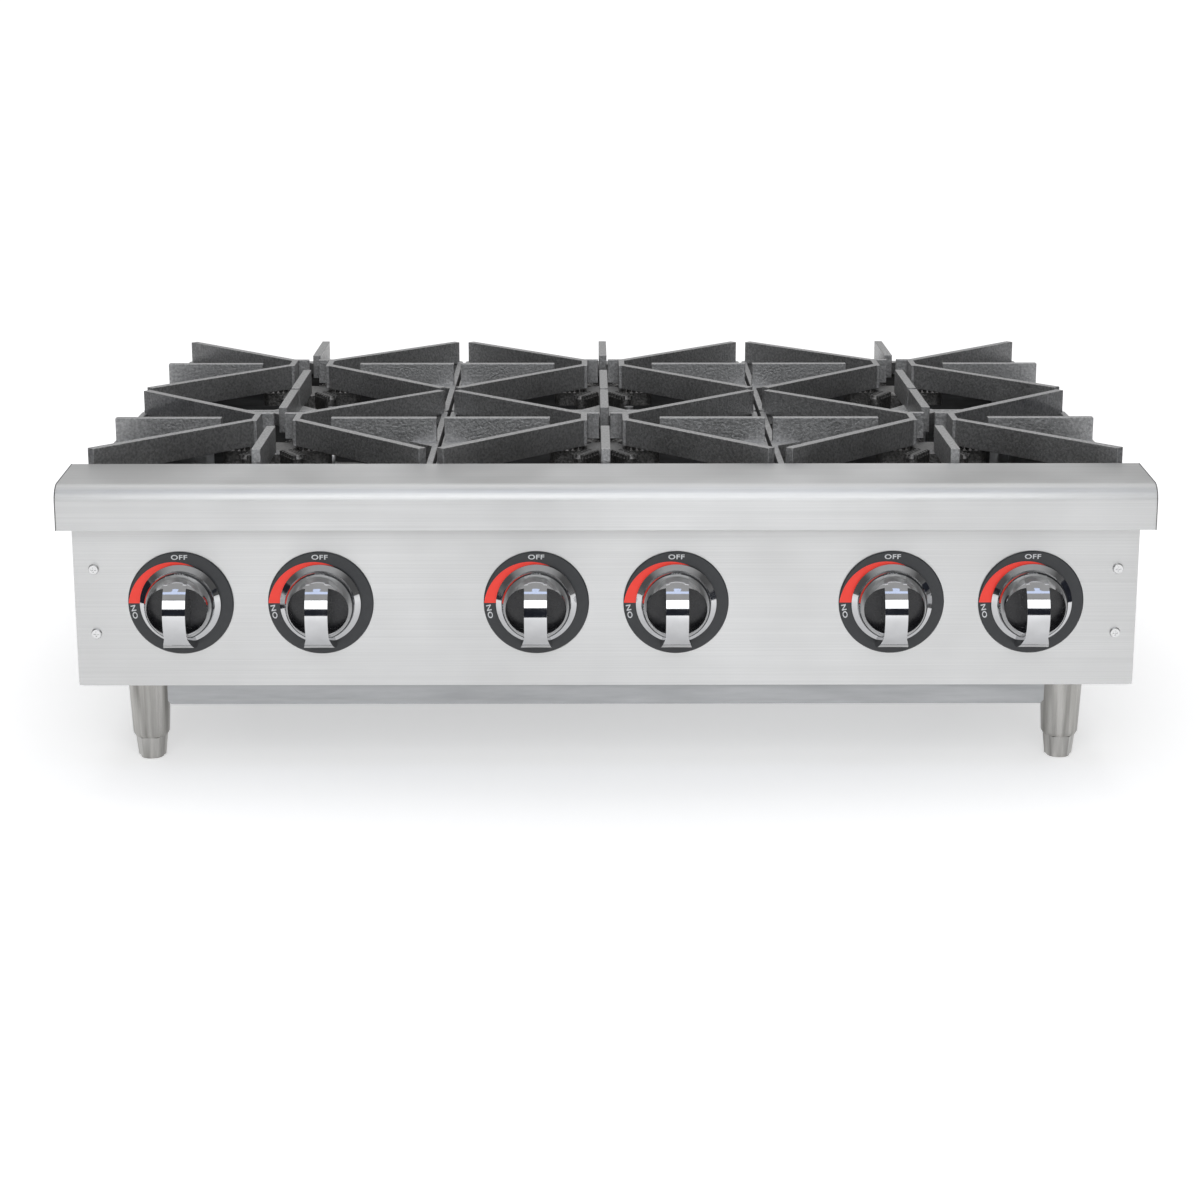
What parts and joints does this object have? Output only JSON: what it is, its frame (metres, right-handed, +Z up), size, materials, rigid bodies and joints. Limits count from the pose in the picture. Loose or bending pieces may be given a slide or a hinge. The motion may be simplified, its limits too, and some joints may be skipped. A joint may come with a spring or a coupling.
{
  "type": "commercial gas hot plate",
  "caption": "Countertop gas hot plate with cast iron grates over star burners, chrome knobs on a stainless front, a bullnose ledge, a slide-out crumb tray and adjustable legs.",
  "frame": {"origin": "on the counter under the centre of the whole appliance", "axes": "+Z up, +X to the right seen from the knobs, the knobs face -Y"},
  "size_m": [0.9156, 0.7108, 0.276],
  "materials": {
    "stainless": "brushed, grain along the width",
    "edge_steel": "sheared and ground edge",
    "zinc_steel": "aluminised sheet, satin",
    "black_pipe": "black oiled pipe",
    "grate_iron": "rough cast, light bloom on the tops",
    "burner_iron": "rough cast, bare",
    "brass": "machined",
    "stem_steel": "plated steel",
    "bezel_print": "charcoal dial plate with printed red wedge",
    "knob_chrome": "polished chrome on a die casting",
    "pilot_tube": "drawn tube",
    "leg_nickel": "satin nickel plating",
    "foot_nickel": "satin nickel plating"
  },
  "bodies": {
    "chassis": {"front_panel": "stainless", "front_ledge": "stainless", "side_panel_left": "stainless", "side_panel_right": "stainless", "ledge_end_caps": "edge_steel", "rear_panel": "zinc_steel", "base_rails": "zinc_steel", "burner_rails": "zinc_steel", "grate_rails": "zinc_steel", "tray_runners": "zinc_steel", "gas_manifold": "black_pipe", "gas_inlet": "black_pipe", "grate_front_left": "grate_iron", "grate_front_centre": "grate_iron", "grate_front_right": "grate_iron", "grate_rear_left": "grate_iron", "grate_rear_centre": "grate_iron", "grate_rear_right": "grate_iron", "burner_front_left": "burner_iron", "burner_front_centre": "burner_iron", "burner_front_right": "burner_iron", "burner_rear_left": "burner_iron", "burner_rear_centre": "burner_iron", "burner_rear_right": "burner_iron", "valve_1": "brass", "valve_2": "brass", "valve_3": "brass", "valve_4": "brass", "valve_5": "brass", "valve_6": "brass", "orifices": "brass", "panel_screws": "stem_steel", "bezel_1": "bezel_print", "bezel_2": "bezel_print", "bezel_3": "bezel_print", "bezel_4": "bezel_print", "bezel_5": "bezel_print", "bezel_6": "bezel_print", "pilots": "pilot_tube", "leg_front_left": "leg_nickel", "leg_front_right": "leg_nickel", "leg_rear_left": "leg_nickel", "leg_rear_right": "leg_nickel"},
    "tray": {"crumb_tray": "zinc_steel"},
    "knob_1": {"knob_1": "knob_chrome", "valve_stem_1": "stem_steel"},
    "knob_2": {"knob_2": "knob_chrome", "valve_stem_2": "stem_steel"},
    "knob_3": {"knob_3": "knob_chrome", "valve_stem_3": "stem_steel"},
    "knob_4": {"knob_4": "knob_chrome", "valve_stem_4": "stem_steel"},
    "knob_5": {"knob_5": "knob_chrome", "valve_stem_5": "stem_steel"},
    "knob_6": {"knob_6": "knob_chrome", "valve_stem_6": "stem_steel"},
    "foot_front_left": {"foot_front_left": "foot_nickel"},
    "foot_front_right": {"foot_front_right": "foot_nickel"},
    "foot_rear_left": {"foot_rear_left": "foot_nickel"},
    "foot_rear_right": {"foot_rear_right": "foot_nickel"}
  },
  "joints": [
    {"name": "tray_slide", "type": "slide", "parent": "chassis", "child": "tray", "axis": [0, -1, 0], "range_m": [0, 0.42]},
    {"name": "knob_1_turn", "type": "hinge", "parent": "chassis", "child": "knob_1", "pos_m": [-0.359, -0.3174, 0.156], "axis": [0, -1, 0], "range_deg": [0, 90]},
    {"name": "knob_2_turn", "type": "hinge", "parent": "chassis", "child": "knob_2", "pos_m": [-0.241, -0.3174, 0.156], "axis": [0, -1, 0], "range_deg": [0, 90]},
    {"name": "knob_3_turn", "type": "hinge", "parent": "chassis", "child": "knob_3", "pos_m": [-0.059, -0.3174, 0.156], "axis": [0, -1, 0], "range_deg": [0, 90]},
    {"name": "knob_4_turn", "type": "hinge", "parent": "chassis", "child": "knob_4", "pos_m": [0.059, -0.3174, 0.156], "axis": [0, -1, 0], "range_deg": [0, 90]},
    {"name": "knob_5_turn", "type": "hinge", "parent": "chassis", "child": "knob_5", "pos_m": [0.241, -0.3174, 0.156], "axis": [0, -1, 0], "range_deg": [0, 90]},
    {"name": "knob_6_turn", "type": "hinge", "parent": "chassis", "child": "knob_6", "pos_m": [0.359, -0.3174, 0.156], "axis": [0, -1, 0], "range_deg": [0, 90]},
    {"name": "foot_front_left_screw", "type": "slide", "parent": "chassis", "child": "foot_front_left", "axis": [0, 0, -1], "range_m": [0, 0.025]},
    {"name": "foot_front_right_screw", "type": "slide", "parent": "chassis", "child": "foot_front_right", "axis": [0, 0, -1], "range_m": [0, 0.025]},
    {"name": "foot_rear_left_screw", "type": "slide", "parent": "chassis", "child": "foot_rear_left", "axis": [0, 0, -1], "range_m": [0, 0.025]},
    {"name": "foot_rear_right_screw", "type": "slide", "parent": "chassis", "child": "foot_rear_right", "axis": [0, 0, -1], "range_m": [0, 0.025]}
  ]
}
